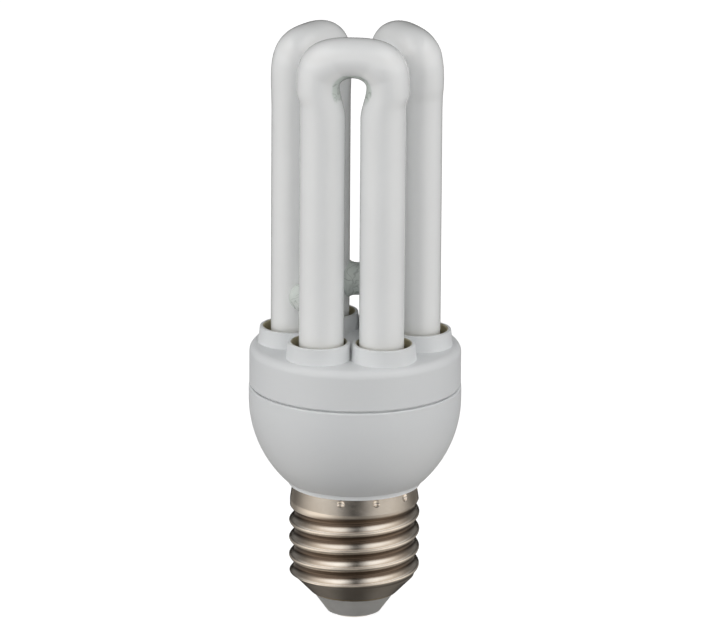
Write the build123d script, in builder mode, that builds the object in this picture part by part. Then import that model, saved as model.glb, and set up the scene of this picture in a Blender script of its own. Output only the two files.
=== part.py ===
from build123d import *
import os
from math import asin, atan2, cos, degrees, radians, sin, sqrt

# Energy saving bulb: three U-bent discharge tubes, a two-part plastic housing with the ballast
# inside, and an E27 screw cap. Lengths are in millimetres. +Z runs up the lamp's axis and the
# origin is the middle of the centre contact's bottom face. One of the U bends faces -Y.

# Screw cap
thread_pitch = 3.629
thread_crest_r = 13.1
thread_depth = 1.0
thread_turns = 3.76
thread_start_angle = 225
thread_run_in = 0.7
thread_run_out = 1.455
shell_wall = 0.3
shell_mouth_r = 8.8
shell_cone_r = 12.1
shell_cone_height = 3.4
skirt_height = 3.37
skirt_flare = 0.35
skirt_taper = 0.5
dimple_count = 11
dimple_ball_r = 1.1
dimple_depth = 0.35
dimple_drop = 0.95

# Insulator and centre contact
contact_head_r = 4.4
contact_head_height = 0.6
contact_stem_r = 1.5
contact_clinch_r = 2.4
contact_clinch_height = 0.5
stem_clearance = 0.1
insulator_foot_r = 5.4
insulator_nose_height = 4.2
insulator_seat_height = 2.2
insulator_clearance = 0.05

# Lower housing
lip_overhang = 0.8
lip_height = 1.05
neck_clearance = 0.05
neck_wall = 1.75
neck_groove_depth = 0.75
neck_groove_height = 2.0
lead_slot_width = 1.0
bowl_foot_r = 14.0
bowl_r = 21.3
bowl_curve_height = 16.8
bowl_band_height = 2.6
bowl_wall = 1.4
rim_wall = 0.8
rib_count = 6
rib_width = 1.5
rib_reach = 1.5
rib_root = 0.35
rib_height = 6.0
seam_gap = 0.3
seam_chamfer = 0.25

# Upper cover
cover_step = 0.1
cover_height = 8.3
cover_wall = 1.4
cover_plate = 1.8
cover_shoulder_r = 1.6
spigot_depth = 2.0
spigot_clearance = 0.1
spigot_wall = 1.4
spigot_root = 1.2
collar_offset = 0.45
collar_turn = 1.315
collar_height = 3.3
collar_wall = 0.8
collar_gap = 0.9
collar_draft = 0.35
collar_socket_depth = 0.9
collar_rim_fillet = 0.2
tube_hole_clearance = 0.15

# Discharge tube
tube_r = 4.5
leg_spacing = 12.0
leg_circle_r = 12.5
leg_below_plate = 4.4
leg_foot_fillet = 3.2
lamp_height = 122.0
bend_half_width = 11.1
bend_rise = 10.1
bend_squareness = 3.0
keyhole_half_width = 2.65
keyhole_rise = 1.9
bend_swell_height = 6.4
swell_steps = 4
bend_steps = 6
bridge_height = 7.0
rear_bridge_waist_r = 3.3
rear_bridge_end_r = 3.6
left_bridge_waist_r = 2.6
left_bridge_end_r = 2.9
exhaust_tip_r = 1.6
exhaust_tip_length = 1.6
pinch_width = 5.6
pinch_thickness = 2.0
pinch_length = 1.6
pinch_corner_r = 0.6
cement_wall = 1.3
cement_height = 2.6

# Ballast board and the parts that hang from it
board_thickness = 1.2
board_clearance = 0.5
wall_margin = 1.6
choke_x = -7.6
choke_core_width = 13.0
choke_core_height = 13.0
choke_core_thickness = 6.0
choke_core_bar = 2.0
choke_centre_leg = 4.0
bobbin_clearance = 0.1
bobbin_wall = 0.8
bobbin_flange_x = 10.0
bobbin_pin_r = 0.35
winding_clearance = 0.6
winding_corner_r = 2.0
can_r = 5.0
can_height = 16.0
can_lead_length = 4.1
can_lead_spacing = 5.0
can_groove_r = 0.5
can_wall_gap = 0.9
lead_r = 0.3
lead_bend_r = 0.6
lead_side_gap = 0.85
film_length = 11.0
film_height = 8.0
film_thickness = 5.0
film_stand_off = 1.2
film_corner_r = 1.25
film_x = 1.0
ring_r = 4.2
ring_bore_r = 2.4
ring_thickness = 3.5
ring_turn_r = 0.35
ring_turns_each = 5
winding_span = 90
ring_stand_off = 2.6
ring_x = 1.6
drum_r = 3.25
drum_height = 8.0
drum_waist_r = 1.8
drum_flange = 1.0
drum_x = -7.0
drum_coil_gap = 0.4
transistor_r = 2.35
transistor_flat = 1.25
transistor_height = 4.6
transistor_stand_off = 1.5
transistor_y = 4.0
transistor_lead_pitch = 1.3
diode_r = 1.35
diode_length = 5.2
diode_stand_off = 2.4
neighbour_gap = 0.85
resistor_r = 1.15
resistor_length = 6.3
resistor_neck_r = 0.95
resistor_cap_length = 1.5
resistor_stand_off = 1.8
resistor_gap = 0.6
disc_r = 3.0
disc_thickness = 2.4
disc_edge_r = 0.8
disc_stand_off = 1.6
trigger_r = 0.95
trigger_length = 4.2
trigger_stand_off = 2.4
fuse_r = 1.7
fuse_length = 9.0
fuse_edge_r = 0.55
fuse_x = -4.0
fuse_above_contact = 4.0
live_lead_gap = 1.2
neutral_lead_angle = -55
pin_size = 0.8
pin_height = 4.6
pin_inset = 1.3
pin_flange_step = 0.3
pin_flange_height = 0.4
pin_spacing = 4.0
wrap_height = 2.0
wire_r = 0.35
wire_bend_r = 1.2
bare_wire_r = 0.25
bare_bend_r = 0.6
joint_gap = 0.05

# Heights, from the contact up
insulator_foot_z = contact_head_height
mouth_z = insulator_foot_z + insulator_nose_height
cone_top_z = mouth_z + shell_cone_height
thread_start_z = cone_top_z + thread_run_in
thread_end_z = thread_start_z + thread_turns * thread_pitch
skirt_z = thread_end_z + thread_run_out
shell_top_z = skirt_z + skirt_height
dimple_z = shell_top_z - dimple_drop
lip_top_z = shell_top_z + lip_height
belly_z = lip_top_z + bowl_curve_height
bowl_rim_z = belly_z + bowl_band_height
cover_foot_z = bowl_rim_z + seam_gap
plate_top_z = cover_foot_z + cover_height
plate_under_z = plate_top_z - cover_plate
collar_rim_z = plate_top_z + collar_height
socket_floor_z = plate_top_z - collar_socket_depth
spigot_foot_z = cover_foot_z - spigot_depth
board_top_z = spigot_foot_z
board_under_z = board_top_z - board_thickness
leg_foot_z = plate_under_z - leg_below_plate
keyhole_z = lamp_height - bend_rise
bend_start_z = keyhole_z - bend_swell_height
bridge_z = collar_rim_z + bridge_height

# Radii that follow from the fits
thread_mean_r = thread_crest_r - thread_depth / 2
skirt_foot_r = thread_mean_r + skirt_flare
skirt_top_r = skirt_foot_r - skirt_taper
skirt_at_dimples_r = skirt_top_r + skirt_taper * dimple_drop / skirt_height
skirt_bore_r = skirt_top_r - shell_wall
lip_r = skirt_top_r + lip_overhang
neck_r = skirt_bore_r - neck_clearance
neck_bore_r = neck_r - neck_wall
bowl_bore_r = bowl_r - bowl_wall
rim_bore_r = bowl_r - rim_wall
spigot_r = rim_bore_r - spigot_clearance
spigot_bore_r = spigot_r - spigot_wall
board_r = bowl_bore_r - board_clearance
edge_circle_r = board_r - wall_margin
cover_r = bowl_r - cover_step
collar_circle_r = leg_circle_r + collar_offset
collar_bore_r = tube_r + collar_gap
collar_rim_r = collar_bore_r + collar_wall
tube_hole_r = tube_r + tube_hole_clearance

# The legs stand in pairs on one circle, and each pair is one U
leg_half_angle = degrees(asin(leg_spacing / 2 / leg_circle_r))
u_angles = [-90, 30, 150]
u_distance = leg_circle_r * cos(radians(leg_half_angle))
leg_angles = [u + side * leg_half_angle for u in u_angles for side in (-1, 1)]
collar_half_angle = leg_half_angle + collar_turn
collar_angles = [u + side * collar_half_angle for u in u_angles for side in (-1, 1)]


def polar(radius, angle):
    return (radius * cos(radians(angle)), radius * sin(radians(angle)))


leg_points = [polar(leg_circle_r, angle) for angle in leg_angles]
collar_points = [polar(collar_circle_r, angle) for angle in collar_angles]

os.makedirs("parts", exist_ok=True)


# Discharge tube: legs, mould-blown bends and the glass bridges between neighbours
def bend_outer_r(angle):
    across = (abs(cos(angle)) / bend_half_width) ** bend_squareness
    upward = (abs(sin(angle)) / bend_rise) ** bend_squareness
    return (across + upward) ** (-1 / bend_squareness)


def bend_inner_r(angle):
    across = (cos(angle) / keyhole_half_width) ** 2
    upward = (sin(angle) / keyhole_rise) ** 2
    return 1 / sqrt(across + upward)


def bend_section(side_x, height, tilt, in_plane_r, u_angle):
    """Cross-section of a bend: side_x runs along the U, tilt turns it about the keyhole."""
    outward = Vector(cos(radians(u_angle)), sin(radians(u_angle)), 0)
    along = Vector(-outward.Y, outward.X, 0)
    middle = outward * u_distance + along * side_x + Vector(0, 0, height)
    forward = along * -sin(tilt) + Vector(0, 0, cos(tilt))
    with BuildSketch(Plane(origin=middle, x_dir=outward, z_dir=forward)) as section:
        Ellipse(max(tube_r, in_plane_r), in_plane_r)
    return section.sketch


def bend_sections(u_angle):
    """Sections from one leg up to one step past the bend's apex."""
    swollen_r = (bend_half_width - keyhole_half_width) / 2
    swollen_x = (bend_half_width + keyhole_half_width) / 2
    leg_x = leg_spacing / 2
    sections = []
    for step in range(swell_steps):
        share = step / swell_steps
        swell = share**2 * (3 - 2 * share)
        side_x = leg_x + swell * (swollen_x - leg_x)
        section_r = tube_r + swell * (swollen_r - tube_r)
        height = bend_start_z + share * bend_swell_height
        sections.append(bend_section(side_x, height, 0, section_r, u_angle))
    for step in range(bend_steps + 2):
        angle = radians(90 * step / bend_steps)
        outer_r = bend_outer_r(angle)
        inner_r = bend_inner_r(angle)
        middle_r = (outer_r + inner_r) / 2
        side_x = middle_r * cos(angle)
        height = keyhole_z + middle_r * sin(angle)
        sections.append(bend_section(side_x, height, angle, (outer_r - inner_r) / 2, u_angle))
    return sections


def glass_bend(u_angle):
    """The whole bend of one U, made as a half and mirrored at the plane between its legs."""
    middle = (*polar(u_distance, u_angle), 0)
    along = (*polar(1, u_angle + 90), 0)
    with BuildPart() as bend:
        loft(sections=bend_sections(u_angle))
        split(bisect_by=Plane(origin=middle, z_dir=along), keep=Keep.TOP)
        mirror(about=Plane(origin=middle, z_dir=along))
    return bend.part


# Neighbouring legs are bridged at the rear and on the left; the electrodes sit in the two legs
# of the gap without a bridge
u_pitch = 360 / len(u_angles)
neighbour_half_angle = u_pitch / 2 - leg_half_angle
bridge_circle_r = leg_circle_r * cos(radians(neighbour_half_angle))
bridge_reach = leg_circle_r * sin(radians(neighbour_half_angle)) - tube_r / 2
rear_bridge_angle = u_angles[1] + u_pitch / 2
left_bridge_angle = u_angles[2] + u_pitch / 2
electrode_points = leg_points[1:3]
electrode_angles = leg_angles[1:3]
exhaust_points = [leg_points[0], leg_points[-1]]

glass_bends = [glass_bend(u_angle) for u_angle in u_angles]
with BuildPart() as discharge_tube:
    with BuildSketch(Plane.XY.offset(leg_foot_z)):
        with Locations(*leg_points):
            Circle(tube_r)
    extrude(amount=bend_start_z - leg_foot_z)
    fillet(discharge_tube.edges().group_by(Axis.Z)[0], leg_foot_fillet)
    add(glass_bends)
    for bridge_angle, waist_r, end_r in (
        (rear_bridge_angle, rear_bridge_waist_r, rear_bridge_end_r),
        (left_bridge_angle, left_bridge_waist_r, left_bridge_end_r),
    ):
        bridge_middle = Vector(*polar(bridge_circle_r, bridge_angle), bridge_z)
        bridge_along = Vector(*polar(1, bridge_angle + 90))
        bridge_outward = Vector(*polar(1, bridge_angle))
        with BuildSketch(Plane(bridge_middle, x_dir=bridge_along, z_dir=bridge_outward)):
            with BuildLine():
                Polyline(
                    (bridge_reach, end_r),
                    (bridge_reach, 0),
                    (-bridge_reach, 0),
                    (-bridge_reach, end_r),
                )
                ThreePointArc((-bridge_reach, end_r), (0, waist_r), (bridge_reach, end_r))
            make_face()
        revolve(axis=Axis(bridge_middle, bridge_along))
    with BuildSketch(Plane.XY.offset(leg_foot_z - exhaust_tip_length)):
        with Locations(*exhaust_points):
            Circle(exhaust_tip_r)
    extrude(amount=exhaust_tip_length + leg_foot_fillet)
    for leg_point, leg_angle in zip(electrode_points, electrode_angles):
        with BuildSketch(Plane.XY.offset(leg_foot_z - pinch_length)):
            with Locations(Location(leg_point, leg_angle)):
                RectangleRounded(pinch_thickness, pinch_width, pinch_corner_r)
        extrude(amount=pinch_length + leg_foot_fillet)
discharge_tube.part.label = "discharge_tube"
export_step(discharge_tube.part, "parts/discharge_tube.step")


# Upper cover: side wall, plate with six collars, and the spigot that enters the lower housing
cover_bore_r = cover_r - cover_wall
with BuildPart() as tube_cover:
    with BuildSketch(Plane.XZ):
        with BuildLine():
            shoulder = JernArc(
                (cover_r, plate_top_z - cover_shoulder_r), (0, 1), cover_shoulder_r, 90
            )
            Polyline(
                shoulder @ 1,
                (0, plate_top_z),
                (0, plate_under_z),
                (cover_bore_r, plate_under_z),
                (cover_bore_r, cover_foot_z + spigot_root),
                (spigot_bore_r, cover_foot_z + spigot_root),
                (spigot_bore_r, spigot_foot_z),
                (spigot_r, spigot_foot_z),
                (spigot_r, cover_foot_z),
                (cover_r - seam_chamfer, cover_foot_z),
                (cover_r, cover_foot_z + seam_chamfer),
                shoulder @ 0,
            )
        make_face()
    revolve(axis=Axis.Z)
    with Locations(*[(x, y, plate_top_z) for x, y in collar_points]):
        Cone(
            collar_rim_r + collar_draft,
            collar_rim_r,
            collar_height,
            align=(Align.CENTER, Align.CENTER, Align.MIN),
        )
    with BuildSketch(Plane.XY.offset(socket_floor_z)):
        with Locations(*collar_points):
            Circle(collar_bore_r)
    extrude(amount=collar_socket_depth + collar_height, mode=Mode.SUBTRACT)
    fillet(tube_cover.edges().group_by(Axis.Z)[-1], collar_rim_fillet)
    with BuildSketch(Plane.XY.offset(plate_under_z)):
        with Locations(*leg_points):
            Circle(tube_hole_r)
    extrude(amount=cover_plate, mode=Mode.SUBTRACT)
tube_cover.part.label = "tube_cover"
export_step(tube_cover.part, "parts/tube_cover.step")


# Cement: one pad round each leg, under the cover's plate
with BuildPart() as tube_cement:
    with BuildSketch(Plane.XY.offset(plate_under_z)):
        with Locations(*leg_points):
            Circle(tube_r + cement_wall)
        with Locations(*leg_points):
            Circle(tube_r, mode=Mode.SUBTRACT)
    extrude(amount=-cement_height)
tube_cement.part.label = "tube_cement"
export_step(tube_cement.part, "parts/tube_cement.step")


# Screw shell: drawn sheet with a mouth, a cone, the rolled thread and a dimpled skirt
def threaded_form(inset):
    """What the shell's sheet encloses, measured inset inside its outer surface.

    A level section of the rolled thread is a circle a little off the axis, so the thread is
    that circle carried up a helix without turning.
    """
    start_plane = Plane.XY.offset(thread_start_z).rotated((0, 0, thread_start_angle))
    end_angle = thread_start_angle + 360 * thread_turns
    with BuildPart() as form:
        with Locations((0, 0, mouth_z)):
            Cone(
                shell_mouth_r - inset,
                shell_cone_r - inset,
                shell_cone_height,
                align=(Align.CENTER, Align.CENTER, Align.MIN),
            )
        with BuildSketch(Plane.XY.offset(cone_top_z)):
            Circle(shell_cone_r - inset)
        with BuildSketch(start_plane):
            with Locations((thread_depth / 2, 0)):
                Circle(thread_mean_r - inset)
        loft()
        with BuildLine(Plane.XY.offset(thread_start_z)) as helix:
            Helix(thread_pitch, thread_turns * thread_pitch, thread_depth / 2)
        with BuildSketch(start_plane):
            with Locations((thread_depth / 2, 0)):
                Circle(thread_mean_r - inset)
        sweep(path=helix.line.rotate(Axis.Z, thread_start_angle), normal=(0, 0, 1))
        with BuildSketch(Plane.XY.offset(thread_end_z)):
            with Locations(polar(thread_depth / 2, end_angle)):
                Circle(thread_mean_r - inset)
        with BuildSketch(Plane.XY.offset(skirt_z)):
            Circle(skirt_foot_r - inset)
        loft()
        with Locations((0, 0, skirt_z)):
            Cone(
                skirt_foot_r - inset,
                skirt_top_r - inset,
                skirt_height,
                align=(Align.CENTER, Align.CENTER, Align.MIN),
            )
        with Locations((0, 0, dimple_z)):
            with PolarLocations(skirt_at_dimples_r + dimple_ball_r - dimple_depth, dimple_count):
                Sphere(dimple_ball_r + inset, mode=Mode.SUBTRACT)
    return form.part


shell_outside = threaded_form(0)
shell_inside = threaded_form(shell_wall)
with BuildPart() as screw_shell:
    add(shell_outside)
    add(shell_inside, mode=Mode.SUBTRACT)
screw_shell.part.label = "screw_shell"
export_step(screw_shell.part, "parts/screw_shell.step")


# Insulator: the pale cone that closes the shell's mouth and carries the centre contact
insulator_mouth_r = shell_mouth_r - shell_wall - insulator_clearance
cone_slope = (shell_cone_r - shell_mouth_r) / shell_cone_height
insulator_top_r = insulator_mouth_r + cone_slope * insulator_seat_height
insulator_top_z = mouth_z + insulator_seat_height
stem_hole_r = contact_stem_r + stem_clearance
with BuildPart() as cap_insulator:
    with BuildSketch(Plane.XZ):
        with BuildLine():
            Polyline(
                (stem_hole_r, insulator_foot_z),
                (insulator_foot_r, insulator_foot_z),
                (insulator_mouth_r, mouth_z),
                (insulator_top_r, insulator_top_z),
                (stem_hole_r, insulator_top_z),
                close=True,
            )
        make_face()
    revolve(axis=Axis.Z)
cap_insulator.part.label = "cap_insulator"
export_step(cap_insulator.part, "parts/cap_insulator.step")


# Centre contact: an eyelet whose stem is clinched over inside the cap
contact_edge_r = contact_head_height / 2
with BuildPart() as centre_contact:
    with BuildSketch(Plane.XZ):
        with BuildLine():
            edge = JernArc(
                (contact_head_r - contact_edge_r, 0), (1, 0), contact_edge_r, 90
            )
            Polyline(
                edge @ 1,
                (contact_head_r, contact_head_height),
                (contact_stem_r, contact_head_height),
                (contact_stem_r, insulator_top_z),
                (contact_clinch_r, insulator_top_z),
                (contact_clinch_r, insulator_top_z + contact_clinch_height),
                (0, insulator_top_z + contact_clinch_height),
                (0, 0),
                edge @ 0,
            )
        make_face()
    revolve(axis=Axis.Z)
centre_contact.part.label = "centre_contact"
export_step(centre_contact.part, "parts/centre_contact.step")


# Lower housing: neck inside the skirt, lip on the skirt's edge, bowl, and ribs for the board
bowl_flare = bowl_r - bowl_foot_r
bowl_arc_r = (bowl_flare**2 + bowl_curve_height**2) / (2 * bowl_flare)
bowl_arc_x = bowl_r - bowl_arc_r
bowl_arc_turn = asin(bowl_curve_height / bowl_arc_r)
inner_arc_r = bowl_arc_r - bowl_wall
inner_foot_r = bowl_arc_x + inner_arc_r * cos(bowl_arc_turn)
inner_foot_z = belly_z - inner_arc_r * sin(bowl_arc_turn)
neck_foot_z = skirt_z + neck_clearance
lead_outer_r = skirt_bore_r - joint_gap - wire_r
lead_inner_r = neck_bore_r - joint_gap - wire_r
slot_floor_r = lead_outer_r - wire_r - joint_gap
with BuildPart() as lower_housing:
    with BuildSketch(Plane.XZ):
        with BuildLine():
            outer = TangentArc((bowl_r, belly_z), (bowl_foot_r, lip_top_z), tangent=(0, -1))
            inner = TangentArc(
                (bowl_bore_r, belly_z), (inner_foot_r, inner_foot_z), tangent=(0, -1)
            )
            Polyline(
                outer @ 1,
                (lip_r, lip_top_z),
                (lip_r, shell_top_z),
                (neck_r, shell_top_z),
                (neck_r, neck_foot_z),
                (neck_bore_r, neck_foot_z),
                (neck_bore_r, lip_top_z),
                inner @ 1,
            )
            Polyline(
                outer @ 0,
                (bowl_r, bowl_rim_z - seam_chamfer),
                (bowl_r - seam_chamfer, bowl_rim_z),
                (rim_bore_r, bowl_rim_z),
                (rim_bore_r, spigot_foot_z),
                (bowl_bore_r, spigot_foot_z),
                inner @ 0,
            )
        make_face()
    revolve(axis=Axis.Z)
    with BuildSketch(Plane.XZ):
        with Locations((neck_r, dimple_z)):
            Rectangle(2 * neck_groove_depth, neck_groove_height)
    revolve(axis=Axis.Z, mode=Mode.SUBTRACT)
    with BuildSketch(Plane.XY.offset(neck_foot_z)):
        with PolarLocations(neck_r, 1, start_angle=neutral_lead_angle):
            Rectangle(2 * (neck_r - slot_floor_r), lead_slot_width)
    extrude(amount=shell_top_z - neck_foot_z, mode=Mode.SUBTRACT)
    with BuildSketch(Plane.XY.offset(board_under_z)):
        with PolarLocations(bowl_bore_r - rib_reach, rib_count):
            Rectangle(rib_reach + rib_root, rib_width, align=(Align.MIN, Align.CENTER))
    extrude(amount=-rib_height)
lower_housing.part.label = "lower_housing"
export_step(lower_housing.part, "parts/lower_housing.step")


# Circuit board, clamped between the ribs and the spigot, with holes for the wrap pins
pin_circle_r = spigot_bore_r - pin_inset
pin_half_angle = degrees(asin(pin_spacing / 2 / pin_circle_r))
pin_angles = [angle + side * pin_half_angle for angle in electrode_angles for side in (-1, 1)]
pin_places = [Location(polar(pin_circle_r, angle), angle) for angle in pin_angles]
with BuildPart() as circuit_board:
    with BuildSketch(Plane.XY.offset(board_under_z)):
        Circle(board_r)
        with Locations(*pin_places):
            Rectangle(pin_size + joint_gap, pin_size + joint_gap, mode=Mode.SUBTRACT)
    extrude(amount=board_thickness)
circuit_board.part.label = "circuit_board"
export_step(circuit_board.part, "parts/circuit_board.step")


# Wrap pins: square posts with a flange on the board
pin_flange = pin_size + 2 * pin_flange_step
with BuildPart() as wrap_pins:
    with BuildSketch(Plane.XY.offset(board_under_z)):
        with Locations(*pin_places):
            Rectangle(pin_size, pin_size)
    extrude(amount=board_thickness + pin_height)
    with BuildSketch(Plane.XY.offset(board_top_z)):
        with Locations(*pin_places):
            Rectangle(pin_flange, pin_flange)
    extrude(amount=pin_flange_height)
wrap_pins.part.label = "wrap_pins"
export_step(wrap_pins.part, "parts/wrap_pins.step")


# Electrode leads: from the pinched feet to the pins, each ending in a few tight turns
wrap_r = pin_size / sqrt(2) + 2 * bare_wire_r
wrap_middle_r = (wrap_r + pin_size / 2) / 2
wrap_foot_z = board_top_z + pin_flange_height + joint_gap
wrap_middle_z = wrap_foot_z + wrap_height / 2
pinch_foot_z = leg_foot_z - pinch_length
lead_spread = pinch_width / 4
lead_starts = []
for leg_point, leg_angle in zip(electrode_points, electrode_angles):
    for side in (-1, 1):
        offset_x, offset_y = polar(side * lead_spread, leg_angle + 90)
        lead_starts.append((leg_point[0] + offset_x, leg_point[1] + offset_y))
with BuildPart() as electrode_leads:
    for start, angle in zip(lead_starts, pin_angles):
        end = polar(pin_circle_r - wrap_middle_r, angle)
        with BuildLine() as route:
            FilletPolyline(
                (*start, pinch_foot_z),
                (*start, wrap_middle_z),
                (*end, wrap_middle_z),
                radius=bare_bend_r,
            )
        with BuildSketch(Plane(origin=(*start, pinch_foot_z), z_dir=(0, 0, -1))):
            Circle(bare_wire_r)
        sweep(path=route.line)
    with BuildSketch(Plane.XY.offset(wrap_foot_z)):
        with Locations(*pin_places):
            Circle(wrap_r)
        with Locations(*pin_places):
            Rectangle(pin_size, pin_size, mode=Mode.SUBTRACT)
    extrude(amount=wrap_height)
electrode_leads.part.label = "electrode_leads"
export_step(electrode_leads.part, "parts/electrode_leads.step")


# Main choke: two E-shaped ferrite halves round a wound bobbin
choke_middle_z = board_under_z - choke_core_height / 2
window_width = (choke_core_width - choke_centre_leg) / 2 - choke_core_bar
window_height = choke_core_height / 2 - choke_core_bar
window_y = choke_centre_leg / 2 + window_width / 2
for side, half_name in ((1, "choke_core_upper"), (-1, "choke_core_lower")):
    with BuildPart() as choke_core:
        with BuildSketch(Plane.YZ.offset(choke_x)):
            with Locations((0, choke_middle_z + side * choke_core_height / 4)):
                Rectangle(choke_core_width, choke_core_height / 2)
            with Locations(
                (window_y, choke_middle_z + side * window_height / 2),
                (-window_y, choke_middle_z + side * window_height / 2),
            ):
                Rectangle(window_width, window_height, mode=Mode.SUBTRACT)
        extrude(amount=choke_core_thickness / 2, both=True)
    choke_core.part.label = half_name
    export_step(choke_core.part, f"parts/{half_name}.step")

bobbin_hole_x = choke_core_thickness + 2 * bobbin_clearance
bobbin_hole_y = choke_centre_leg + 2 * bobbin_clearance
bobbin_tube_x = bobbin_hole_x + 2 * bobbin_wall
bobbin_tube_y = bobbin_hole_y + 2 * bobbin_wall
bobbin_flange_y = choke_core_width - 2 * choke_core_bar - 2 * bobbin_clearance
flange_under_z = choke_middle_z + window_height
bobbin_pin_x = bobbin_flange_x / 2 - 2 * bobbin_pin_r
bobbin_pin_y = bobbin_flange_y / 2 - 2 * bobbin_pin_r
with BuildPart() as choke_bobbin:
    with BuildSketch(Plane.XY.offset(choke_middle_z)):
        with Locations((choke_x, 0)):
            Rectangle(bobbin_tube_x, bobbin_tube_y)
    extrude(amount=window_height, both=True)
    for side in (-1, 1):
        with BuildSketch(Plane.XY.offset(choke_middle_z + side * window_height)):
            with Locations((choke_x, 0)):
                Rectangle(bobbin_flange_x, bobbin_flange_y)
        extrude(amount=-side * bobbin_wall)
    with BuildSketch(Plane.XY.offset(choke_middle_z)):
        with Locations((choke_x, 0)):
            Rectangle(bobbin_hole_x, bobbin_hole_y)
    extrude(amount=window_height, both=True, mode=Mode.SUBTRACT)
    with BuildSketch(Plane.XY.offset(flange_under_z)):
        with Locations((choke_x, 0)):
            with GridLocations(2 * bobbin_pin_x, 2 * bobbin_pin_y, 2, 2):
                Circle(bobbin_pin_r)
    extrude(amount=choke_core_bar)
choke_bobbin.part.label = "choke_bobbin"
export_step(choke_bobbin.part, "parts/choke_bobbin.step")

with BuildPart() as choke_winding:
    with BuildSketch(Plane.XY.offset(choke_middle_z)):
        with Locations((choke_x, 0)):
            RectangleRounded(
                bobbin_flange_x - 2 * winding_clearance,
                bobbin_flange_y - 2 * winding_clearance,
                winding_corner_r,
            )
            Rectangle(bobbin_tube_x, bobbin_tube_y, mode=Mode.SUBTRACT)
    extrude(amount=window_height - bobbin_wall, both=True)
choke_winding.part.label = "choke_winding"
export_step(choke_winding.part, "parts/choke_winding.step")


# Feedback transformer: a small ferrite ring with two windings on it
ring_top_z = board_under_z - ring_stand_off
ring_middle_r = (ring_r + ring_bore_r) / 2
ring_width = ring_r - ring_bore_r
turn_width = ring_width + 2 * joint_gap
turn_height = ring_thickness + 2 * joint_gap
turn_step = winding_span / ring_turns_each
ring_reach = ring_r + joint_gap + ring_turn_r
ring_y = sqrt((edge_circle_r - ring_reach) ** 2 - ring_x**2)
with BuildPart() as feedback_ring:
    with BuildSketch(Plane.XY.offset(ring_top_z)):
        with Locations((ring_x, ring_y)):
            Circle(ring_r)
            Circle(ring_bore_r, mode=Mode.SUBTRACT)
    extrude(amount=-ring_thickness)
feedback_ring.part.label = "feedback_ring"
export_step(feedback_ring.part, "parts/feedback_ring.step")

turn_angles = [
    180 * side + turn_step * (turn - (ring_turns_each - 1) / 2)
    for side in (0, 1)
    for turn in range(ring_turns_each)
]
with BuildPart() as feedback_windings:
    for angle in turn_angles:
        turn_x, turn_y = polar(ring_middle_r, angle)
        turn_plane = Plane(
            origin=(ring_x + turn_x, ring_y + turn_y, ring_top_z - ring_thickness / 2),
            x_dir=(*polar(1, angle), 0),
            z_dir=(*polar(1, angle - 90), 0),
        )
        with BuildSketch(turn_plane):
            Rectangle(turn_width + 2 * ring_turn_r, turn_height + 2 * ring_turn_r)
            Rectangle(turn_width, turn_height, mode=Mode.SUBTRACT)
        extrude(amount=ring_turn_r / 2, both=True)
    lead_turns = [turn_angles[turn] for turn in (0, ring_turns_each - 1, ring_turns_each, -1)]
    with BuildSketch(Plane.XY.offset(board_under_z)):
        for angle in lead_turns:
            turn_x, turn_y = polar(ring_middle_r, angle)
            with Locations((ring_x + turn_x, ring_y + turn_y)):
                Rectangle(ring_turn_r, ring_turn_r)
    extrude(amount=joint_gap - ring_stand_off)
feedback_windings.part.label = "feedback_windings"
export_step(feedback_windings.part, "parts/feedback_windings.step")


# Smoothing capacitor: a tall can that hangs into the neck
can_x = neck_bore_r - can_r - can_wall_gap
can_top_z = board_under_z - can_lead_length
can_foot_z = can_top_z - can_height
can_groove_z = can_top_z - 3 * can_groove_r
with BuildPart() as smoothing_capacitor:
    with BuildSketch(Plane.XY.offset(can_foot_z)):
        with Locations((can_x, 0)):
            Circle(can_r)
    extrude(amount=can_height)
    fillet(smoothing_capacitor.edges().group_by(Axis.Z)[0], can_groove_r)
    with Locations((can_x, 0, can_groove_z)):
        Torus(can_r + can_groove_r / 2, can_groove_r, mode=Mode.SUBTRACT)
    with BuildSketch(Plane.XY.offset(can_top_z)):
        with Locations((can_x, 0)):
            with GridLocations(0, can_lead_spacing, 1, 2):
                Circle(lead_r)
    extrude(amount=can_lead_length)
smoothing_capacitor.part.label = "smoothing_capacitor"
export_step(smoothing_capacitor.part, "parts/smoothing_capacitor.step")


# Film capacitor: a dipped block with soft edges
film_reach = film_length / 2 + abs(film_x)
film_y = film_thickness / 2 - sqrt(edge_circle_r**2 - film_reach**2)
with BuildPart() as film_capacitor:
    with BuildSketch(Plane.XY.offset(board_under_z - film_stand_off)):
        with Locations((film_x, film_y)):
            RectangleRounded(film_length, film_thickness, film_corner_r)
    extrude(amount=-film_height)
    fillet(film_capacitor.edges().group_by(Axis.Z)[0], film_corner_r)
    with BuildSketch(Plane.XY.offset(board_under_z)):
        with Locations((film_x, film_y)):
            with GridLocations(film_length - 2 * film_corner_r, 0, 2, 1):
                Circle(lead_r)
    extrude(amount=-film_stand_off)
film_capacitor.part.label = "film_capacitor"
export_step(film_capacitor.part, "parts/film_capacitor.step")


# Input choke: a coil on a small ferrite drum
drum_middle_z = board_under_z - drum_height / 2
drum_place_y = sqrt((edge_circle_r - drum_r) ** 2 - drum_x**2)
with BuildPart() as drum_core:
    with Locations((drum_x, drum_place_y, drum_middle_z)):
        Cylinder(drum_r, drum_height)
        Cylinder(drum_r, drum_height - 2 * drum_flange, mode=Mode.SUBTRACT)
        Cylinder(drum_waist_r, drum_height)
drum_core.part.label = "drum_core"
export_step(drum_core.part, "parts/drum_core.step")

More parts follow.
